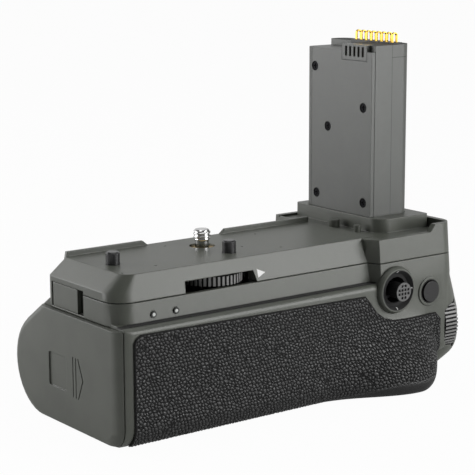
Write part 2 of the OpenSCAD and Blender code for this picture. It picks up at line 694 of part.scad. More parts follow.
// Battery tower
module tower_shell() {
    color([0.37, 0.38, 0.37]) difference() {
        union() {
            translate([0, 0, deck_z - plate_t - 2]) linear_extrude(tower_z - deck_z + plate_t + 2) tower_outline(0);
            translate([0, 0, deck_z - plate_t - 2]) linear_extrude(2) tower_outline(1.6);
        }
        difference() {
            translate([0, 0, collar_z]) linear_extrude(tower_h - 3) offset_outline();
            for (p = cover_holes) rod_x(tower_x0, tower_x1, p, 2.4);
        }
        box([tower_x0 - 1, tower_x0 + cover_t + part_gap], [tower_y0 - 1, tower_y1 - 4.2], [collar_z - 0.1, big]);
        box([tower_x0 - 1, carrier_x - 1.5], [comb_y0 + comb_w + 0.2, big], [tower_z - tower_low, big]);
        box([tower_x0 - 1, tower_x0 + comb_t + part_gap], [comb_y0 - part_gap, comb_y0 + comb_w + part_gap],
            [tower_z - comb_h - part_gap, big]);
        box([carrier_x - carrier_w / 2 - part_gap, carrier_x + carrier_w / 2 + part_gap],
            [carrier_y - part_gap, carrier_y + carrier_d + part_gap], [tower_z - 4, big]);
        box([tower_x0 - 1, tower_x0 + 8], [tower_y1 - 1.1, big], [tower_z - 10.4, tower_z - 7.1]);
        for (p = cover_holes) rod_x(tower_x0 - 1, tower_x0 + 7, p, 0.95);
    }
}

module offset_outline() {
    polygon(plan(tower_x0 + cover_t / 2, tower_x1 - tower_wall, tower_y0 + tower_wall, tower_y1 - 4.6,
        [0.4, 3, 3, 0.4], 4));
}

module tower_cover() {
    color([0.38, 0.39, 0.38]) difference() {
        box([tower_x0, tower_x0 + cover_t], [tower_y0 + 0.05, tower_y1 - 4.3], [collar_z, tower_z - tower_low]);
        box([tower_x0 - 1, tower_x0 + comb_t], [comb_y0 - part_gap, comb_y0 + comb_w + part_gap],
            [tower_z - comb_h - part_gap, big]);
        for (p = cover_holes) {
            rod_x(tower_x0 - 1, tower_x0 + cover_t + 1, p, 0.95);
            rod_x(tower_x0 - 1, tower_x0 + 1, p, 1.9);
        }
    }
}

module tower_screws() {
    color([0.06, 0.06, 0.06]) for (p = cover_holes) difference() {
        union() {
            rod_x(tower_x0 + 0.25, tower_x0 + 1, p, 1.7);
            rod_x(tower_x0 + 0.9, tower_x0 + 6.5, p, 0.95);
        }
        for (turn = [0, 90]) translate([tower_x0, p[0], p[1]]) rotate([turn, 0, 0]) box([-1, 0.7], [-0.25, 0.25], [-1, 1]);
    }
}

module contact_comb() {
    color([0.5, 0.51, 0.5]) difference() {
        box([tower_x0, tower_x0 + comb_t], [comb_y0, comb_y0 + comb_w], [tower_z - comb_h, tower_z]);
        for (i = [-2:2]) let (y = comb_y0 + comb_w / 2 + i * comb_pitch)
            box([tower_x0 - 1, tower_x0 + comb_t - 1.2], [y - comb_slot / 2, y + comb_slot / 2],
                [tower_z - comb_h + 1.5, tower_z - 0.8]);
    }
}

module comb_contacts() {
    color([0.8, 0.65, 0.3]) for (i = [-2:2]) let (y = comb_y0 + comb_w / 2 + i * comb_pitch)
        box([tower_x0 + 1.6, tower_x0 + comb_t - 1.2], [y - 0.2, y + 0.2], [tower_z - comb_h + 1.5, tower_z - 0.8]);
}

module pin_carrier() {
    color([0.12, 0.12, 0.12]) difference() {
        box([carrier_x - carrier_w / 2, carrier_x + carrier_w / 2], [carrier_y, carrier_y + carrier_d],
            [tower_z - 4, tower_z + 0.5]);
        for (i = [0:data_n - 1]) box([carrier_x - 1.4, carrier_x + 1.4],
            [carrier_y + 2 + i * data_pitch - 0.55, carrier_y + 2 + i * data_pitch + 0.55], [tower_z - 2, big]);
    }
}

module data_contacts() {
    color([0.86, 0.66, 0.16]) for (i = [0:data_n - 1]) let (y = carrier_y + 2 + i * data_pitch)
        along_y(y - 0.5, y + 0.5) difference() {
            union() {
                translate([carrier_x, tower_z + 3]) circle(r = 1.3);
                translate([carrier_x - 1.3, tower_z - 2]) square([2.6, 5]);
            }
            translate([carrier_x, tower_z + 3]) circle(r = 0.9);
            translate([carrier_x - 0.9, tower_z - 3]) square([1.8, 6]);
        }
}

// Joystick, rear button and their boards
module joystick_bezel() {
    color([0.3, 0.31, 0.3]) translate([stick_c[0], -back_y, stick_c[1]]) rotate([90, 0, 0]) rotate_extrude()
        polygon([[5, -0.6], [bezel_r - 1.7, -0.6], [bezel_r - 1.7, 0.1], [bezel_r, 0.1], [bezel_r - 0.3, 1.3],
            [bezel_r - 0.9, 2], [bezel_r - 1.5, 2], [6.3, 0.4], [5, 0.4]]);
}

housing_in = 6;

module joystick_housing() {
    color([0.12, 0.12, 0.12]) translate([stick_c[0], 0, stick_c[1]]) difference() {
        rod_y(-back_y + 0.7, board_y, [0, 0], housing_in + 1.3);
        rod_y(-back_y - 1, board_y - 1, [0, 0], housing_in);
        rod_x(-big, big, [stick_pivot, 0], 0.8 + run);
    }
}

module joystick_gimbal() {
    color([0.5, 0.5, 0.52]) translate([stick_c[0], 0, stick_c[1]]) difference() {
        union() {
            rod_y(stick_pivot - 1.2, stick_pivot + 1.2, [0, 0], 5);
            for (s = [-1, 1]) rod_x(s < 0 ? -7 : 4.5, s < 0 ? -4.5 : 7, [stick_pivot, 0], 0.8);
        }
        rod_y(-big, big, [0, 0], 4);
        rod_z(-big, big, [0, stick_pivot], 0.7 + run);
    }
}

module joystick_stem() {
    color([0.1, 0.1, 0.1]) translate([stick_c[0], 0, stick_c[1]]) {
        rod_y(-back_y - 2.6, stick_pivot + 1.2, [0, 0], 2.2);
        rod_z(-4.8, 4.8, [0, stick_pivot], 0.7);
    }
}

module joystick_cap() {
    color([0.12, 0.12, 0.12]) translate([stick_c[0], -back_y, stick_c[1]]) difference() {
        union() {
            rod_y(-4.2, 0.6, [0, 0], cap_r - 0.5);
            rod_y(-cap_h, -4.1, [0, 0], cap_r);
        }
        rod_y(-3.3, 5, [0, 0], 2.2 + run);
        for (i = [-1.5:1:1.5], k = [-1.5:1:1.5]) if (abs(i) + abs(k) < 3) translate([i * pit, 0, k * pit])
            box([-0.5, 0.5], [-cap_h - 1, 0.4 - cap_h], [-0.5, 0.5]);
    }
}

cap_h = 5;
pit = 1.5;
flange_y = -back_y + wall + gap;
switch_y = flange_y + 0.8 + 0.8 + gap;

module rear_button() {
    color([0.2, 0.2, 0.2]) {
        rod_y(-back_y - 1.3, flange_y + 0.1, button_c, button_r);
        rod_y(flange_y, flange_y + 0.8, button_c, button_r + 0.7);
    }
}

module control_board() {
    color([0.05, 0.25, 0.14]) box([pod_left - 1, cavity_end - 1.6], [board_y, board_y + board_t], [30, seam_z - 2]);
}

module shutter_board() {
    color([0.05, 0.25, 0.14]) box([cavity_end - board_t, cavity_end], [shutter_c[0] - 9, shutter_c[0] + 4.6],
        [shutter_c[1] - 10, shutter_c[1] + 10]);
}

module tact_switches() {
    color([0.65, 0.65, 0.66]) {
        box([button_c[0] - 3, button_c[0] + 3], [switch_y + 1, board_y], [button_c[1] - 3, button_c[1] + 3]);
        rod_y(switch_y, switch_y + 1.1, button_c, 1.6);
        box([cavity_end, cavity_end + 1.4], [shutter_c[0] - 3, shutter_c[0] + 3], [shutter_c[1] - 3, shutter_c[1] + 3]);
        rod_x(cavity_end + 1.3, cavity_end + 1.8, shutter_c, 1.6);
    }
}

// Command dials, shutter button and its lock ring
module dial(x, c, r, ribs) {
    difference() {
        translate([x, c[0], c[1]]) rotate([90, 0, 90]) linear_extrude(dial_w) ribbed_outline(r, ribs, 0.6);
        rod_x(x - 1, x + dial_w + 1, c, dial_pin_r + run);
    }
}

module rear_dial() {
    color([0.12, 0.12, 0.12]) dial(dial_x, dial_c, rear_dial_r, 58);
}

module front_dial() {
    color([0.12, 0.12, 0.12]) dial(front_dial_x, front_dial_c, front_dial_r, 48);
}

module rear_dial_pin() {
    color([0.7, 0.7, 0.72]) rod_x(dial_x - 2.4, nose_x - 0.8, dial_c, dial_pin_r);
}

module front_dial_pin() {
    color([0.7, 0.7, 0.72]) rod_x(front_dial_x - 1.7, front_dial_x + dial_w + 1.7, front_dial_c, dial_pin_r);
}

module shutter_button() {
    color([0.12, 0.12, 0.12]) difference() {
        union() {
            rod_x(cavity_end + 4.2, nose_x + 2.2, shutter_c, shutter_r);
            rod_x(cavity_end + 3.3, cavity_end + 4.3, shutter_c, shutter_r + 0.9);
        }
        translate([nose_x + 2.2 + 28.6, shutter_c[0], shutter_c[1]]) sphere(r = 29, $fn = 128);
    }
}

module shutter_lock_ring() {
    color([0.16, 0.16, 0.16]) difference() {
        union() {
            rod_x(nose_x - spot + 0.1, nose_x - spot + ring_t, shutter_c, ring_out);
            box([nose_x + 0.4, nose_x - spot + ring_t], [shutter_c[0] + ring_out - 1, shutter_c[0] + ring_out + 2.4],
                [shutter_c[1] - 1.6, shutter_c[1] + 1.6]);
        }
        rod_x(0, big, shutter_c, neck_r + run);
    }
}

// USB cover
module usb_cover() {
    color([0.34, 0.35, 0.34]) difference() {
        union() {
            box([upper_left, upper_left + usb_t], [usb_y0, usb_axis[1]], [usb_z0, usb_z1]);
            rod_z(usb_z0, usb_z1, usb_axis, 0.85);
        }
        rod_z(0, big, usb_axis, pin_r + run);
    }
}

module usb_hinge_pin() {
    color([0.7, 0.7, 0.72]) rod_z(usb_z0 - usb_dip, usb_z1 + 1.4, usb_axis, pin_r);
}

// Battery door with its hinge along the bottom edge
module door_hinge_pin() {
    color([0.7, 0.7, 0.72])
        rod_y(knuckle_at[0] - door_travel - 4, knuckle_at[1] + knuckle_l + 4, [hinge_x, hinge_z], pin_r);
}

module door_sleeve() {
    color([0.5, 0.5, 0.52]) for (y = knuckle_at) difference() {
        rod_y(y - 0.6, y + knuckle_l + 0.6, [hinge_x, hinge_z], sleeve_r);
        rod_y(-big, big, [hinge_x, hinge_z], pin_r + run);
    }
}

module battery_door() {
    pad_y = 7.3;
    pad_z = 20.5;
    color([0.33, 0.34, 0.33]) difference() {
        union() {
            intersection() {
                lower_form(front_x, front_x + door_t);
                box([-big, 0], [-big, big], [hinge_z + 0.05, door_top]);
            }
            for (y = knuckle_at) {
                rod_y(y, y + knuckle_l, [hinge_x, hinge_z], knuckle_r);
                box([front_x + door_t - 0.5, hinge_x], [y, y + knuckle_l], [hinge_z + 0.05, hinge_z + knuckle_r]);
            }
        }
        for (y = knuckle_at) rod_y(y - 1, y + knuckle_l + 1, [hinge_x, hinge_z], sleeve_r + run);
        translate([front_x, 0, 0]) rotate([90, 0, 90]) translate([0, 0, -1]) linear_extrude(1.5)
            polygon(plan(pad_y - 6, pad_y + 6, pad_z - 6.2, pad_z + 6.2, [1, 1, 1, 1], 3));
        for (y = [-3.4, -5.3]) box([front_x - 1, front_x + 0.4], [y - 0.25, y + 0.25], [pad_z - 7.4, pad_z + 7.4]);
        for (s = [-1, 1]) along_x(front_x - 1, front_x + 0.4)
            polygon([[-7, pad_z + 7.4 * s], [-10.2, pad_z], [-9.6, pad_z], [-6.5, pad_z + 7.4 * s]]);
    }
}

main_shell();
top_cover();
rear_grip_rubber();
front_grip_rubber();
case_screws();
tripod_bush();
battery_bay();
battery_contact_blocks();
battery_contact_blades();
eject_springs();
main_board();
usb_port();
led_pipes();
gear_bracket();
wheel_pin();
screw_bush();
locating_pegs();
tower_shell();
tower_cover();
tower_screws();
contact_comb();
comb_contacts();
pin_carrier();
data_contacts();
joystick_bezel();
joystick_housing();
control_board();
shutter_board();
tact_switches();
rear_dial_pin();
front_dial_pin();
door_hinge_pin();
usb_hinge_pin();
lock_wheel();
attachment_screw();
screw_pinion();
rear_dial();
front_dial();
shutter_button();
shutter_lock_ring();
rear_button();
joystick_gimbal();
joystick_stem();
joystick_cap();
usb_cover();
door_sleeve();
battery_door();
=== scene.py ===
import json
import math

import bmesh
import bpy
import numpy as np
from mathutils import Matrix, Vector


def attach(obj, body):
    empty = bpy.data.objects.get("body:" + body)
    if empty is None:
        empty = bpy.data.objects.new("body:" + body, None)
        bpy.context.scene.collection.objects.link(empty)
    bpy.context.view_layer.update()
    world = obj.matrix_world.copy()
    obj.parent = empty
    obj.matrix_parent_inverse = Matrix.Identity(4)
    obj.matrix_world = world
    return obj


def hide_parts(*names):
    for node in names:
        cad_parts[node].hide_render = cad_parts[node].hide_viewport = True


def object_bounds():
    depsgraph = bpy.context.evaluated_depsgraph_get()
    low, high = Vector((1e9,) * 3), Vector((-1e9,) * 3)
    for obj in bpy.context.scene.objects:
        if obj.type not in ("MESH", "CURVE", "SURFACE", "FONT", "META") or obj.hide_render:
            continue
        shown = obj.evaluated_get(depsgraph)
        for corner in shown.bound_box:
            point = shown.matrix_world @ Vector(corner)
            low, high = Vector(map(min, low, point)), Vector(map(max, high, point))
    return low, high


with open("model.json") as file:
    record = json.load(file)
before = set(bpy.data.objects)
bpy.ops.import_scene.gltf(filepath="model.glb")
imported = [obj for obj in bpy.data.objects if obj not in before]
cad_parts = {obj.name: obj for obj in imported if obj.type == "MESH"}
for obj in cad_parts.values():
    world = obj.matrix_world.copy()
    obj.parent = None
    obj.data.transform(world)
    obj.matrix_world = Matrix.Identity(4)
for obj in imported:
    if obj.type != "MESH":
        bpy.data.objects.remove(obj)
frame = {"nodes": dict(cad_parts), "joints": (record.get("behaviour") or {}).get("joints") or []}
cad_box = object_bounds()


# Camera at the photograph's place: a long lens from the back left, a little above the grip.
# Its place and turn were fitted to the straight edges of the housing and the tower.
MM = 0.001
camera_at = Vector((-355.25, -481.53, 181.46)) * MM
yaw, pitch, roll = math.radians(36.756), math.radians(-11.332), math.radians(-0.186)
focal_pixels, photo_pixels = 1632.1, 475
ahead = Vector((math.sin(yaw) * math.cos(pitch), math.cos(yaw) * math.cos(pitch), math.sin(pitch)))
level = Vector((math.cos(yaw), -math.sin(yaw), 0))
above = level.cross(ahead)
right = math.cos(roll) * level + math.sin(roll) * above
upward = math.cos(roll) * above - math.sin(roll) * level
camera = bpy.data.objects.new("camera", bpy.data.cameras.new("camera"))
camera.data.sensor_width = 36
camera.data.lens = focal_pixels / photo_pixels * camera.data.sensor_width
camera.data.clip_start = 0.01
camera.matrix_world = Matrix((right, upward, -ahead)).transposed().to_4x4()
camera.matrix_world.translation = camera_at
bpy.context.scene.collection.objects.link(camera)
bpy.context.scene.camera = camera
bpy.context.scene.view_settings.view_transform = "Standard"


# Studio: a large softbox stands where the back of the grip mirrors it to the camera, another where
# the left end does, and a weaker one hangs overhead; nothing stands behind the camera.
aim = Vector((0.005, 0.0, 0.05))


def softbox(name, offset, size, power):
    lamp = bpy.data.objects.new(name, bpy.data.lights.new(name, "AREA"))
    lamp.data.shape = "RECTANGLE"
    lamp.data.size, lamp.data.size_y = size
    lamp.data.energy = power
    lamp.location = aim + Vector(offset)
    lamp.rotation_euler = Vector(offset).to_track_quat("Z", "Y").to_euler()
    bpy.context.scene.collection.objects.link(lamp)


softbox("softbox_right", level * 0.735 - ahead * 0.27 + Vector((0, 0, 0.16)), (0.6, 0.6), 6.2)
softbox("softbox_left", -level * 0.75 + ahead * 0.12 + Vector((0, 0, 0.24)), (0.7, 0.6), 5)
softbox("softbox_top", Vector((0.05, 0.12, 0.95)), (0.8, 0.8), 2.9)


# Housing, lower half: one injection moulding in dark grey glass-filled plastic, from a spark-eroded
# mould that leaves a fine grain; it carries the palm swell, the control pod and the nose.
class Wire:
    """An output of a node tree. Arithmetic on it adds Math nodes; node() adds any other node."""

    def __init__(self, tree, socket):
        self.tree, self.socket = tree, socket

    def node(self, kind, settings=None, values=None, out=0):
        made = self.tree.nodes.new(kind)
        for key, value in (settings or {}).items():
            setattr(made, key, value)
        for key, value in (values or {}).items():
            if isinstance(value, Wire):
                self.tree.links.new(value.socket, made.inputs[key])
            else:
                made.inputs[key].default_value = value
        return Wire(self.tree, made.outputs[out])

    def math(self, operation, a, b):
        return self.node("ShaderNodeMath", {"operation": operation}, {0: a, 1: b})

    def __add__(self, other):
        return self.math("ADD", self, other)

    def __sub__(self, other):
        return self.math("SUBTRACT", self, other)

    def __rsub__(self, other):
        return self.math("SUBTRACT", other, self)

    def __mul__(self, other):
        return self.math("MULTIPLY", self, other)

    __radd__ = __add__
    __rmul__ = __mul__

    def between(self, low, high):
        """0 below low, 1 above high, smooth between."""
        return self.node("ShaderNodeMapRange", {"interpolation_type": "SMOOTHSTEP"},
                         {"Value": self, "From Min": low, "From Max": high})

    def blend(self, first, second):
        """A colour between first and second, by this value."""
        first, second = [c if isinstance(c, Wire) else (*c, 1) for c in (first, second)]
        return self.node("ShaderNodeMix", {"data_type": "RGBA"}, {0: self, 6: first, 7: second}, out=2)


def paint(name, **fixed):
    """A new material: its shader, and a Wire that holds the place on the object in metres."""
    material = bpy.data.materials.new(name)
    material.use_nodes = True
    tree = material.node_tree
    shader = tree.nodes["Principled BSDF"]
    for key, value in fixed.items():
        shader.inputs[key.replace("_", " ")].default_value = value
    place = Wire(tree, tree.nodes.new("ShaderNodeTexCoord").outputs["Object"])
    return material, shader, place


def feed(shader, **wires):
    for key, wire in wires.items():
        wire.tree.links.new(wire.socket, shader.inputs[key.replace("_", " ")])


def noise(place, per_metre, detail=2.0, rough=0.5):
    return place.node("ShaderNodeTexNoise", None,
                      {"Vector": place, "Scale": per_metre, "Detail": detail, "Roughness": rough})


def bump(height, distance, strength=1.0, normal=None):
    values = {"Height": height, "Distance": distance, "Strength": strength}
    if normal:
        values["Normal"] = normal
    return height.node("ShaderNodeBump", None, values)


def rounded(place, radius):
    """Normals that run round the edges as the mould's small radius does."""
    return place.node("ShaderNodeBevel", {"samples": 6}, {"Radius": radius})


nodes = frame["nodes"]


def dress(material, *names):
    for name in names:
        nodes[name].data.materials.clear()
        nodes[name].data.materials.append(material)


def smooth_group(degrees):
    """Geometry nodes that join a moulding's faces and shade them smooth up to an edge angle."""
    group = bpy.data.node_groups.new("smooth_moulding", "GeometryNodeTree")
    group.interface.new_socket("Geometry", in_out="INPUT", socket_type="NodeSocketGeometry")
    group.interface.new_socket("Geometry", in_out="OUTPUT", socket_type="NodeSocketGeometry")
    made = {}
    for key, kind in (("start", "NodeGroupInput"), ("plain", "GeometryNodeRemoveAttribute"),
                      ("join", "GeometryNodeMergeByDistance"), ("face", "GeometryNodeSetShadeSmooth"),
                      ("edge", "GeometryNodeSetShadeSmooth"), ("end", "NodeGroupOutput")):
        made[key] = group.nodes.new(kind)
        if key != "start":
            group.links.new(last.outputs[0], made[key].inputs[0])
        last = made[key]
    made["plain"].inputs["Name"].default_value = "custom_normal"
    made["join"].inputs["Distance"].default_value = 2e-6
    made["edge"].domain = "EDGE"
    angle = group.nodes.new("GeometryNodeInputMeshEdgeAngle")
    below = group.nodes.new("FunctionNodeCompare")
    below.operation = "LESS_THAN"
    below.inputs[1].default_value = math.radians(degrees)
    group.links.new(angle.outputs[0], below.inputs[0])
    group.links.new(below.outputs[0], made["edge"].inputs["Shade Smooth"])
    return group


moulded = smooth_group(34)


def smooth(*names):
    for name in names:
        nodes[name].modifiers.new("join_faces", "NODES").node_group = moulded
        weighted = nodes[name].modifiers.new("flat_faces", "WEIGHTED_NORMAL")
        weighted.keep_sharp = True
        weighted.weight = 70


def grained_plastic(name, dark, pale, rough, edge, shade_and_joints_at=None):
    """Spark-eroded plastic; the last argument gives the places, 0 to 1, that are painted near black: painted
    shade where little light reaches, and dark joint lines.
    """
    material, shader, place = paint(name, Specular_IOR_Level=0.5)
    grain = noise(place, 2600, 3, 0.6)
    cloud = noise(place, 90, 3, 0.6)
    speck = place.node("ShaderNodeTexVoronoi", None, {"Vector": place, "Scale": 1500, "Randomness": 1.0})
    dots = (1 - speck.between(0.03, 0.13)) * noise(place, 420, 1).between(0.45, 0.62)
    tone = (cloud.between(0.3, 0.7) * 0.5 + grain * 0.5).blend(dark, pale)
    tone = (dots * 0.4).blend(tone, (0.30, 0.31, 0.30))
    rough = rough + (grain - 0.5) * 0.18 + (cloud - 0.5) * 0.08
    if shade_and_joints_at:
        # Painted shade, and dark joint lines: the given places take a near-black colour and a rougher finish.
        shade_joint_mask = shade_and_joints_at(place)
        tone = shade_joint_mask.blend(tone, (0.010, 0.010, 0.009))
        rough = rough + shade_joint_mask * 0.4
    feed(shader, Base_Color=tone, Roughness=rough,
         Normal=bump(grain, 0.00006, 0.55, rounded(place, edge)))
    return material


joint_at = {joint["name"]: joint.get("pos_m") for joint in frame["joints"]}


def xyz(place):
    return [place.node("ShaderNodeSeparateXYZ", None, {0: place}, out=k) for k in range(3)]


def from_axis(place, across, axis):
    """Distance from the axis through a point; across holds a 1 for each direction square to it."""
    flat = place.node("ShaderNodeVectorMath", {"operation": "MULTIPLY"}, {0: place, 1: across})
    through = [a * b for a, b in zip(across, axis)]
    return place.node("ShaderNodeVectorMath", {"operation": "DISTANCE"}, {0: flat, 1: through}, out=1)


def strip(value, rise, fall):
    """1 between two soft edges, each given by its start and end in millimetres."""
    return value.between(rise[0] * MM, rise[1] * MM) * (1 - value.between(fall[0] * MM, fall[1] * MM))


def shaded_hollows(place):
    """1 on the floor of the step between the halves, in the dials' slots and round the rear button, where
    shade is painted dark.
    """
    x, y, z = xyz(place)
    hollow = strip(z, (43.0, 43.2), (43.6, 44.0)) * strip(y, (-32.4, -31.6), (-28.8, -28.6))
    for turn, slot_r, start, end in (("rear_dial_turn", 14.6, 80, 87), ("front_dial_turn", 12.1, 70.7, 77.7)):
        out = from_axis(place, (0, 1, 1), joint_at[turn])
        in_slot = 1 - out.between((slot_r + 0.05) * MM, (slot_r + 0.1) * MM)
        hollow = hollow + in_slot * strip(x, (start - 0.1, start), (end, end + 0.1))
    button_at = (71.3 * MM, 0, 37.2 * MM)
    by_button = 1 - from_axis(place, (1, 0, 1), button_at).between(4.7 * MM, 4.8 * MM)
    return hollow + by_button * (1 - y.between(-30.0 * MM, -29.5 * MM))


shell_grey, shell_pale = (0.067, 0.072, 0.060), (0.089, 0.095, 0.080)
housing_plastic = grained_plastic("housing_plastic", shell_grey, shell_pale, 0.37, 0.0005)
# The lower half has painted shade on the step's floor, in the dials' slots and round the rear button.
dress(grained_plastic("plastic_shaded_hollows", shell_grey, shell_pale, 0.37, 0.0005, shade_and_joints_at=shaded_hollows), "main_shell")
smooth("main_shell")


# Housing, upper half: the mounting plate, the slanted panel and the deck round the tower, moulded
# in the same plastic and closed on the lower half at a fine open seam.
dress(housing_plastic, "top_cover")
smooth("top_cover")


# Grip inlays: rubber sheet with a pebbled leather grain, moulded to the hand and glued to the back
# and the front of the housing behind a narrow groove.
def pebbled_rubber(name):
    material, shader, place = paint(name, Specular_IOR_Level=0.55)
    pebble = place.node("ShaderNodeAttribute", {"attribute_name": "grain"}, out=2)
    fine = place.node("ShaderNodeTexVoronoi", {"feature": "DISTANCE_TO_EDGE"},
                      {"Vector": place, "Scale": 1900})
    wear = noise(place, 900, 2)
    top = pebble.between(0.3, 0.85)
    # The creases, and the sheet's edges, are painted near black as shade; the pebble tops keep the rubber's
    # dark tone, varied at random by wear.
    crease, pale_tone = (0.001, 0.001, 0.001), wear.blend((0.003, 0.0032, 0.0032), (0.030, 0.031, 0.031))
    feed(shader, Base_Color=top.blend(crease, pale_tone),
         Roughness=0.95 - top * 0.66 + (wear - 0.5) * 0.2,
         Normal=bump(fine.between(0.0, 0.3) + noise(place, 3600, 2) * 0.5, 0.00007, 0.8))
    return material


grip_leather = pebbled_rubber("grip_leather")
grip_edge, shader, place = paint("grip_edge", Specular_IOR_Level=0.4)
feed(shader, Base_Color=noise(place, 300, 3).blend((0.008, 0.008, 0.008), (0.014, 0.014, 0.014)),
     Roughness=0.5 + noise(place, 1800, 2) * 0.15, Normal=bump(noise(place, 2400, 2), 0.00003, 0.5))


edge_round, crease_depth, crease_width = 0.9, 0.62, 0.46
pebble_width, pebble_height, slant = 1.4, 1.3, 0.25


def pebbles(across, down):
    """Height of the grain from 0 in a crease to 1 on a pebble; places are in pebble widths."""
    near, second = np.full(across.shape, 9.0), np.full(across.shape, 9.0)
    for i in (-1, 0, 1):
        for j in (-1, 0, 1):
            a, b = np.floor(across) + i, np.floor(down) + j
            seed_a = np.mod(np.sin(a * 127.1 + b * 311.7) * 43758.5453, 1)
            seed_b = np.mod(np.sin(a * 269.5 + b * 183.3) * 43758.5453, 1)
            far = np.hypot(a + 0.1 + 0.8 * seed_a - across, b + 0.1 + 0.8 * seed_b - down)
            second = np.minimum(second, np.maximum(near, far))
            near = np.minimum(near, far)
    gap = np.clip((second - near) / crease_width, 0, 1)
    return gap * gap * (3 - 2 * gap)


def inlay(name, node, low, high, flow, plain):
    """A sheet between two surfaces, given as columns of points: rounded edges, pebbled outside."""
    columns, rows = low.shape[:2]
    edge = np.concatenate((low[0], low[-1], low[:, 0], low[:, -1]))
    to_edge = np.array([[np.sqrt(((edge - point) ** 2).sum(1).min()) for point in column] for column in low])
    rise = np.clip(to_edge / edge_round, 0, 1)
    height = np.sqrt(1 - (1 - rise) ** 2)
    bare_grain = pebbles(low[..., 0] / pebble_width + flow * slant, flow / pebble_height)
    grain = 1 - (1 - bare_grain) * rise * plain
    height -= crease_depth * (1 - grain)
    # The grain value falls to 0 near the sheet's edges, so they take the creases' painted shade.
    grain *= np.clip(to_edge / 0.5 - 0.4, 0, 1)
    outer = low + (high - low) * np.clip(height, 0, 1)[..., None]
    points = [tuple(p * MM) for p in outer.reshape(-1, 3)]
    under = {}

    def inner(i, k):
        if (i, k) not in under:
            under[i, k] = len(points)
            points.append(tuple(low[i, k] * MM))
        return under[i, k]

    faces = [(i * rows + k, i * rows + k + 1, (i + 1) * rows + k + 1, (i + 1) * rows + k)
             for i in range(columns - 1) for k in range(rows - 1)]
    for k in (0, rows - 1):
        faces += [(i * rows + k, (i + 1) * rows + k, inner(i + 1, k), inner(i, k))
                  for i in range(columns - 1)]
    for i in (0, columns - 1):
        faces += [(i * rows + k, i * rows + k + 1, inner(i, k + 1), inner(i, k)) for k in range(rows - 1)]
    steps = [*range(0, rows - 1, 10), rows - 1]
    for i in range(columns - 1):
        for a, b in zip(steps, steps[1:]):
            left = [inner(i, k) for k in (range(a, b + 1) if i == 0 else (a, b))]
            right = [inner(i + 1, k) for k in (range(b, a - 1, -1) if i == columns - 2 else (b, a))]
            faces.append((*left, *right))
    mesh = bpy.data.meshes.new(name)
    mesh.from_pydata(points, [], faces)
    form = bmesh.new()
    form.from_mesh(mesh)
    bmesh.ops.recalc_face_normals(form, faces=form.faces)
    form.to_mesh(mesh)
    form.free()
    mesh.shade_smooth()
    relief = np.zeros(len(points))
    relief[:grain.size] = grain.reshape(-1)
    mesh.attributes.new("grain", "FLOAT", "POINT").data.foreach_set("value", relief)
    mesh.materials.append(grip_leather)
    mesh.materials.append(grip_edge)
    bare = ((plain[:-1, :-1] + plain[1:, 1:]) < 0.6).reshape(-1)
    for polygon, is_bare in zip(mesh.polygons, bare):
        polygon.material_index = int(is_bare)
    piece = bpy.data.objects.new(name, mesh)
    bpy.context.scene.collection.objects.link(piece)
    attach(piece, "housing")
    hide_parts(node)


def inset(distance, radius):
    """How far a round corner stands back at a distance from its end."""
    return 0 if distance >= radius else radius - math.sqrt(radius ** 2 - (radius - distance) ** 2)


def ease(x, start, end):
    """0 before start, 1 after end, smooth between."""
    share = min(max((x - start) / (end - start), 0), 1)
    return share * share * (3 - 2 * share)


left_end, right_end, back_y = -70.5, 83, -34
rear_rows, rear_step = 190, 0.3


def back_column(x, out, rows):
    """Points down the back at one place along it, and how far each is along the sheet."""
    corner, low = inset(x - left_end, 6), inset(right_end - x, 10)
    swell = ease(x, 20, 61) * (1 - ease(x, 61, right_end))
    back = back_y + corner + inset(right_end - x, 16)
    heel_r = max(9 - 4 * swell - max(corner, low), 1)
    heel_z = low + heel_r
    top = np.interp(x, (-65, -64, -62, 20, 38.5, 41, 44, 48, 52.5, 58.5, 74.5, 77.5),
                    (38, 40, 41.1, 40.1, 39.8, 36.9, 33, 30, 28.7, 28.4, 28.4, 25.4))
    z = np.linspace(top, heel_z, 60)
    reach = 9 * np.exp(-(np.maximum(z - 10, 0) / 11) ** 2)
    y = back - swell * reach
    if x > 46.5:
        y = np.minimum(y, np.array([inset(max(height - 10, 0), 6) for height in z]) + back_y - 0.05)
    turn = np.linspace(0, math.radians(60), 40)
    heel_y = back + heel_r - swell * reach[-1]
    flow = np.concatenate((z[:-1], heel_z - heel_r * turn))
    y = np.concatenate((y[:-1] - out, heel_y - (heel_r + out) * np.cos(turn)))
    z = np.concatenate((z[:-1], heel_z - (heel_r + out) * np.sin(turn)))
    cut = np.interp(x, (72.5, 74, 76.9, 78.5), (-5, 4, 9, 10))
    keep = np.count_nonzero(z >= cut)
    if keep < len(z):
        share = (z[keep - 1] - cut) / (z[keep - 1] - z[keep])
        y, z, flow = [np.append(v[:keep], v[keep - 1] + (v[keep] - v[keep - 1]) * share)
                      for v in (y, z, flow)]
    way = np.concatenate(([0], np.cumsum(np.hypot(np.diff(y), np.diff(z)))))
    spots = np.linspace(0, way[-1], rows)
    points = np.stack((np.full(rows, x), np.interp(spots, way, y), np.interp(spots, way, z)), 1)
    return points, np.interp(spots, way, flow)


along = np.concatenate((np.arange(-65, 77.3, rear_step), [77.3]))
low = np.stack([back_column(x, 0.25, rear_rows)[0] for x in along])
high = np.stack([back_column(x, 0.9, rear_rows)[0] for x in along])
flow = np.stack([back_column(x, 0.25, rear_rows)[1] for x in along])
edge_at = np.array([-1.5 + 6.5 * ease(x, 10, 55) for x in along])[:, None]
inlay("rear_grip_leather", "rear_grip_rubber", low, high, flow, np.clip((flow - edge_at) / 1.5, 0, 1))
along = np.linspace(-62.5, 47.5, 290)
turn = np.radians(np.linspace(56, -62, 112))
front_axis = 19.5


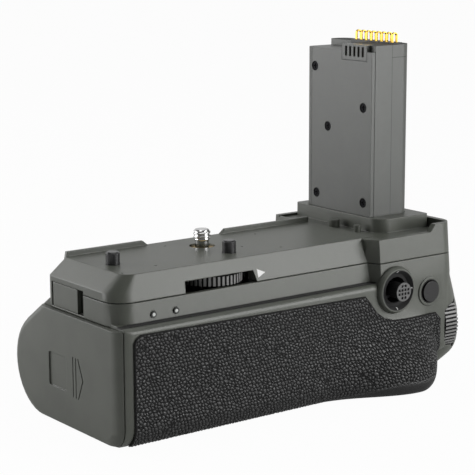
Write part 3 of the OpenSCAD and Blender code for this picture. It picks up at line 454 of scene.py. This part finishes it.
def front_sheet(radius):
    """Columns of points round the front hand grip, whose axis has the same y and z."""
    arc = front_axis + radius * np.cos(turn), front_axis + radius * np.sin(turn)
    return np.stack([np.stack((np.full(len(turn), x), *arc), 1) for x in along])


low, high = front_sheet(19.75), front_sheet(20.4)
flow = np.tile(turn * 20, (len(along), 1))
inlay("front_grip_leather", "front_grip_rubber", low, high, flow, np.ones(flow.shape))


# Battery bay: a black moulded tray for two batteries between the halves of the housing, with gold
# plated blades in two blocks at its end and coil springs of steel wire that push the batteries out.
def satin_black(name, tone, rough):
    material, shader, place = paint(name, Specular_IOR_Level=0.5)
    grain = noise(place, 3200, 3, 0.6)
    cloud = noise(place, 260, 2)
    dark, pale = [c * 0.75 for c in tone], [c * 1.3 for c in tone]
    feed(shader, Base_Color=(cloud * 0.6 + grain * 0.4).blend(dark, pale),
         Roughness=rough + (grain - 0.5) * 0.2,
         Normal=bump(grain, 0.00004, 0.5, rounded(place, 0.00018)))
    return material


def plain_metal(name, tone, rough, scratch):
    material, shader, place = paint(name, Metallic=1.0)
    fine = noise(place, 1800, 4, 0.65)
    drawn = place.node("ShaderNodeVectorMath", {"operation": "MULTIPLY"}, {0: place, 1: (400, 400, 6000)})
    line = noise(drawn, 1.0)
    dark, pale = [c * 0.85 for c in tone], [min(c * 1.1, 1) for c in tone]
    feed(shader, Base_Color=(fine * 0.7 + line * 0.3).blend(dark, pale),
         Roughness=rough + (line - 0.5) * scratch,
         Normal=bump(line, 0.00001, 0.4, rounded(place, 0.00012)))
    return material


black_plastic = satin_black("black_plastic", (0.018, 0.018, 0.019), 0.42)
steel = plain_metal("steel", (0.56, 0.56, 0.57), 0.32, 0.25)
gold_plate = plain_metal("gold_plate", (0.66, 0.42, 0.07), 0.28, 0.1)
dress(black_plastic, "battery_bay", "battery_contact_blocks")
dress(gold_plate, "battery_contact_blades")
dress(steel, "eject_springs")


# Battery door: a moulded flap over the bay's mouth at the left end, with a recessed thumb pad. It
# swings on two sleeves of steel that slide along a steel pin.
flap_plastic = grained_plastic("flap_plastic", shell_grey, shell_pale, 0.4, 0.0004)
dress(flap_plastic, "battery_door")
smooth("battery_door")
dress(steel, "door_sleeve", "door_hinge_pin")


# Charging port: a socket of pressed steel in the left end. A small cover, moulded in the housing's
# plastic, closes it and swings on its own steel pin.
dress(flap_plastic, "usb_cover")
smooth("usb_cover")
dress(steel, "usb_port", "usb_hinge_pin")


# Lock wheel and gearing: a knurled black wheel on a fixed steel pin turns the pinion on the screw;
# a stamped bracket and a turned brass bush carry them under the plate.
def ribbed_black(name, across, axis, radius):
    """Black plastic whose rib crests, at a radius round an axis, carry a painted highlight, pale over gaps
    painted near black as shade.
    """
    material, shader, place = paint(name, Specular_IOR_Level=0.35)
    grain = noise(place, 3200, 3, 0.6)
    crest = from_axis(place, across, axis).between((radius - 0.22) * MM, (radius - 0.04) * MM)
    pale_tone = grain.blend((0.17, 0.17, 0.167), (0.25, 0.25, 0.245))
    feed(shader, Base_Color=crest.blend((0.003, 0.003, 0.003), pale_tone),
         Roughness=0.75 - crest * 0.45 + (grain - 0.5) * 0.15, Normal=bump(grain, 0.00003, 0.4))
    return material


dress(ribbed_black("wheel_black", (1, 1, 0), joint_at["lock_wheel_turn"], 12), "lock_wheel")
dress(steel, "wheel_pin", "gear_bracket", "screw_pinion")
dress(plain_metal("turned_brass", (0.62, 0.46, 0.22), 0.3, 0.2), "screw_bush")


# Attachment screw: turned steel with a rolled quarter-inch thread of 20 turns to the inch above a
# plain neck, chromed; the pinion under the plate is pressed on its shank.
chrome = plain_metal("chrome", (0.70, 0.70, 0.70), 0.14, 0.1)
screw_x, pivot_r, shoulder_z = -12, 2.0, 48.39
thread_pitch, crest, root, thread_from, chamfer_from = 1.27, 3.175, 2.625, 62.2, 65.6
turns = [thread_from + thread_pitch / 20 * i for i in range(58)]
heights = [46.8, shoulder_z - 0.01, shoulder_z + 0.01, 55.0, 60.0, *turns, 66.0, 66.3]
sides = 72
rings = []
for z in heights:
    for k in range(sides):
        angle = 2 * math.pi * k / sides
        phase = ((z - thread_from) / thread_pitch - k / sides) % 1
        ridge = min(1, 1.35 * (1 - abs(2 * phase - 1))) * min(1, max(0, (z - thread_from) / 0.9))
        radius = pivot_r if z < shoulder_z else root + (crest - root) * ridge
        radius = min(radius, crest - max(0, z - chamfer_from))
        rings.append(((screw_x + radius * math.cos(angle)) * MM, radius * math.sin(angle) * MM, z * MM))
faces = [(i * sides + k, i * sides + (k + 1) % sides, (i + 1) * sides + (k + 1) % sides, (i + 1) * sides + k)
         for i in range(len(heights) - 1) for k in range(sides)]
faces += [tuple(range(sides))[::-1], tuple((len(heights) - 1) * sides + k for k in range(sides))]
screw_mesh = bpy.data.meshes.new("threaded_screw")
screw_mesh.from_pydata(rings, [], faces)
screw_mesh.shade_smooth()
screw_mesh.set_sharp_from_angle(angle=math.radians(40))
screw_mesh.materials.append(chrome)
threaded_screw = bpy.data.objects.new("threaded_screw", screw_mesh)
bpy.context.scene.collection.objects.link(threaded_screw)
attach(threaded_screw, "attachment_screw")
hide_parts("attachment_screw")


# Locating pegs: two pins moulded in black plastic and rounded at the top, which guide the camera's
# base. They are pressed into the plate.
peg_plastic = satin_black("peg_plastic", (0.022, 0.022, 0.023), 0.26)
dress(peg_plastic, "locating_pegs")


# Arrow beside the wheel's slot: a thin film of white ink, pad printed on the slanted panel and a
# little worn.
ink, shader, place = paint("white_ink", Specular_IOR_Level=0.4)
wear = noise(place, 2200, 3, 0.6)
feed(shader, Base_Color=wear.between(0.3, 0.7).blend((0.70, 0.70, 0.69), (0.86, 0.86, 0.85)),
     Roughness=0.5 + wear * 0.2)


def printed(name, outlines, body):
    """A film of ink: each outline is a row of points on the surface and the way the surface faces."""
    form = bmesh.new()
    for outline, facing in outlines:
        lower = [form.verts.new((Vector(p) - 0.02 * Vector(facing)) * MM) for p in outline]
        upper = [form.verts.new((Vector(p) + 0.03 * Vector(facing)) * MM) for p in outline]
        form.faces.new(upper)
        form.faces.new(lower[::-1])
        for k in range(len(outline)):
            form.faces.new((lower[k - 1], lower[k], upper[k], upper[k - 1]))
    bmesh.ops.recalc_face_normals(form, faces=form.faces)
    mesh = bpy.data.meshes.new(name)
    form.to_mesh(mesh)
    form.free()
    mesh.materials.append(ink)
    piece = bpy.data.objects.new(name, mesh)
    bpy.context.scene.collection.objects.link(piece)
    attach(piece, body)


def on_panel(x, z):
    """A point of the slanted panel, which leans in by 2.9 mm over its 9 mm of height."""
    return (x, -28.5 + 2.9 * (z - 51) / 9, z)


panel_faces = (0, -0.952, 0.307)
arrow = [on_panel(-7.3, 52.2), on_panel(-3.9, 53.7), on_panel(-7.3, 55.2)]
printed("lock_arrow", [(arrow, panel_faces)], "housing")


# Circuit boards: glass fibre with copper tracks under a green solder mask. Small steel switches stand
# on them behind the controls.
board_mask, shader, place = paint("solder_mask", Specular_IOR_Level=0.5, Coat_Weight=0.4)
track = place.node("ShaderNodeTexVoronoi", {"feature": "DISTANCE_TO_EDGE", "distance": "CHEBYCHEV"},
                   {"Vector": place, "Scale": 350, "Randomness": 0.6})
bare = track.between(0.03, 0.06)
feed(shader, Base_Color=bare.blend((0.012, 0.10, 0.05), (0.006, 0.055, 0.03)), Roughness=0.35 + bare * 0.1,
     Normal=bump(1 - bare, 0.00003, 0.6))
dress(board_mask, "main_board", "control_board", "shutter_board")
dress(steel, "tact_switches")


# Light pipes: two rods moulded in clear plastic that bring the charge lights of the board to the
# panel. Each shows a pale end in a dark rim.
pipe_clear, shader, place = paint("light_pipe", Specular_IOR_Level=0.5)
pipe_z = 45.9
left, right = [from_axis(place, (1, 0, 1), (x * MM, 0, pipe_z * MM)).between(0.5 * MM, 0.7 * MM)
               for x in (-53.5, -44.1)]
clear = noise(place, 1500).blend((0.50, 0.53, 0.50), (0.70, 0.72, 0.70))
feed(shader, Base_Color=(1 - left * right).blend((0.030, 0.031, 0.030), clear),
     Roughness=0.2 + noise(place, 2500) * 0.15)
dress(pipe_clear, "led_pipes")


# Battery tower: a box moulded to a battery's size that goes into the camera, closed on one side by a
# cover with five small black screws.
def shaded_pockets(place):
    """1 inside the counterbores round the cover's screws, where shade is painted dark."""
    clear = 1.0
    for y, z in ((20.6, 120.8), (-8.6, 106.6), (12.5, 97.5), (19.2, 70.0), (-9.1, 69.5)):
        clear = from_axis(place, (0, 1, 1), (0, y * MM, z * MM)).between(2.4 * MM, 2.5 * MM) * clear
    return (1 - clear) * xyz(place)[0].between(58.62 * MM, 58.66 * MM)


def parting_lines_shaded_top(place):
    """1 on the fine line down the tower's rear face, a dark joint, and on its flat top, where shade is
    painted dark.
    """
    x, y, z = xyz(place)
    line = strip(x, (68.85, 68.95), (69.07, 69.17)) * (1 - y.between(-13.0 * MM, -12.8 * MM))
    step = strip(z, (125.65, 125.75), (125.87, 125.97)) * (1 - y.between(-10.0 * MM, -9.6 * MM))
    step = step * x.between(68.9 * MM, 69.0 * MM)
    return line * 0.7 + step * 0.8 + z.between(130.55 * MM, 130.65 * MM) * 0.85


tower_tones = (0.072, 0.076, 0.070), (0.090, 0.094, 0.087), 0.37, 0.0003
tower_plastic = grained_plastic("tower_plastic", *tower_tones)
# The tower's flat top and the pockets of the cover's screws are painted dark as shade; the fine lines are
# dark joints.
dress(grained_plastic("tower_plastic_lined_shaded_top", *tower_tones, shade_and_joints_at=parting_lines_shaded_top), "tower_shell")
dress(grained_plastic("tower_plastic_shaded_pockets", *tower_tones, shade_and_joints_at=shaded_pockets), "tower_cover")
smooth("tower_shell")
dress(plain_metal("blackened_steel", (0.008, 0.008, 0.009), 0.5, 0.2), "tower_screws", "case_screws")


# Tower contacts: a slotted block with battery contacts in its slots, and a black carrier with a row
# of eight gold plated contacts.
dress(tower_plastic, "contact_comb")
dress(gold_plate, "comb_contacts", "data_contacts")
dress(black_plastic, "pin_carrier")


# Joystick: a dished bezel pressed into the pod, a black cup behind it, a steel gimbal, a moulded stem
# and a rubber cap with square pits; four white ticks are printed in the dish.
bezel_plastic, shader, place = paint("bezel_plastic", Specular_IOR_Level=0.5)
grain = noise(place, 2600, 3, 0.6)
stick_at = joint_at["joystick_tilt_up_down"]
rim = from_axis(place, (1, 0, 1), stick_at).between(7.6 * MM, 7.9 * MM)
feed(shader, Base_Color=rim.blend((0.010, 0.010, 0.010), grain.blend(shell_grey, shell_pale)),
     Roughness=0.85 - rim * 0.45 + (grain - 0.5) * 0.18,
     Normal=bump(grain, 0.00005, 0.5, rounded(place, 0.0003)))
dress(bezel_plastic, "joystick_bezel")
smooth("joystick_bezel")
dress(satin_black("cup_black", (0.004, 0.004, 0.004), 0.7), "joystick_housing", "joystick_stem")
dress(plain_metal("gimbal_steel", (0.05, 0.05, 0.052), 0.6, 0.2), "joystick_gimbal")
cap_rubber, shader, place = paint("cap_rubber", Specular_IOR_Level=0.4)
grain = noise(place, 3200, 3, 0.6)
# Where the cap stands out past y = -38.9 mm it is pale grey; deeper, down in its pits, it is near black.
ridge = 1 - xyz(place)[1].between(-38.9 * MM, -38.7 * MM)
pale_tone = grain.blend((0.10, 0.10, 0.10), (0.15, 0.15, 0.148))
feed(shader, Base_Color=ridge.blend((0.006, 0.006, 0.006), pale_tone),
     Roughness=0.6 + (grain - 0.5) * 0.2, Normal=bump(grain, 0.00004, 0.5, rounded(place, 0.00018)))
dress(cap_rubber, "joystick_cap")


def on_bezel(radius, angle, aside):
    """A point of the bezel's dish, which falls by 1.6 mm between its edge and its hole."""
    c, s = math.cos(angle), math.sin(angle)
    x, z = stick_at[0] / MM, stick_at[2] / MM
    return (x + radius * c - aside * s, -34.4 - (radius - 6.3) * 1.6 / 1.3, z + radius * s + aside * c)


ticks = []
for angle in (0, math.pi / 2, math.pi, 3 * math.pi / 2):
    outline = [on_bezel(r, angle, a) for r, a in ((6.7, -0.25), (7.4, -0.25), (7.4, 0.25), (6.7, 0.25))]
    ticks.append((outline, (-0.776 * math.cos(angle), -0.631, -0.776 * math.sin(angle))))
printed("joystick_ticks", ticks, "housing")


# Rear button: a round cap moulded in black plastic, with a polished top. It slides in a hole of the
# pod and presses a switch on the control board.
dress(satin_black("button_black", (0.005, 0.005, 0.005), 0.3), "rear_button")


# Command dials: ribbed wheels moulded in black plastic, one at the back and one at the front of the
# nose. Each turns on a steel pin.
dress(ribbed_black("rear_dial_black", (0, 1, 1), joint_at["rear_dial_turn"], 14), "rear_dial")
dress(ribbed_black("front_dial_black", (0, 1, 1), joint_at["front_dial_turn"], 11.5), "front_dial")
dress(steel, "rear_dial_pin", "front_dial_pin")


# Shutter button: a dished cap of black plastic in the end of the nose. A lock ring of the same plastic
# turns round it.
dress(black_plastic, "shutter_button", "shutter_lock_ring")


# Tripod socket: a bush turned from aluminium and tapped for a quarter-inch screw. It sits in the base
# of the housing.
dress(plain_metal("turned_aluminium", (0.62, 0.62, 0.63), 0.3, 0.2), "tripod_bush")


# Floor and backdrop: a white sweep that shows plain white to the camera and keeps a faint shadow. The
# gloss of the grip mirrors it, brightest on the side that the camera looks towards.
def rays(tree):
    path = tree.nodes.new("ShaderNodeLightPath")
    return [Wire(tree, path.outputs[f"Is {kind} Ray"]) for kind in ("Camera", "Glossy", "Transmission")]


floor_mesh = bpy.data.meshes.new("floor")
floor_mesh.from_pydata([(-3, -3, 0), (3, -3, 0), (3, 3, 0), (-3, 3, 0)], [], [(0, 1, 2, 3)])
floor = bpy.data.objects.new("floor", floor_mesh)
floor.location.z = cad_box[0][2] - 0.0002
bpy.context.scene.collection.objects.link(floor)
floor_white, shader, place = paint("floor_white", Roughness=0.9)
shader.inputs["Base Color"].default_value = (0.6, 0.6, 0.6, 1)
floor_tree = floor_white.node_tree
seen, glossy, through = rays(floor_tree)
glow = place.node("ShaderNodeEmission", None, {"Strength": 1.0})
mixed = place.node("ShaderNodeMixShader", None, {
    0: seen * 0.97 + glossy * 0.3 + through * 0.97, 1: Wire(floor_tree, shader.outputs[0]), 2: glow})
floor_tree.links.new(mixed.socket, floor_tree.nodes["Material Output"].inputs["Surface"])
floor_mesh.materials.append(floor_white)
world = bpy.data.worlds.new("studio")
bpy.context.scene.world = world
world.use_nodes = True
sky = world.node_tree.nodes["Background"]
seen, glossy, through = rays(world.node_tree)
way = Wire(world.node_tree, world.node_tree.nodes.new("ShaderNodeTexCoord").outputs["Generated"])
facing = way.node("ShaderNodeVectorMath", {"operation": "DOT_PRODUCT"}, {0: way, 1: ahead}, out=1)
backdrop = facing.between(-0.1, 0.7)
strength = (seen + through) * 0.92 + glossy * (0.1 + backdrop * 0.5) + 0.08
world.node_tree.links.new(strength.socket, sky.inputs["Strength"])
sky.inputs["Color"].default_value = (1, 1, 1, 1)
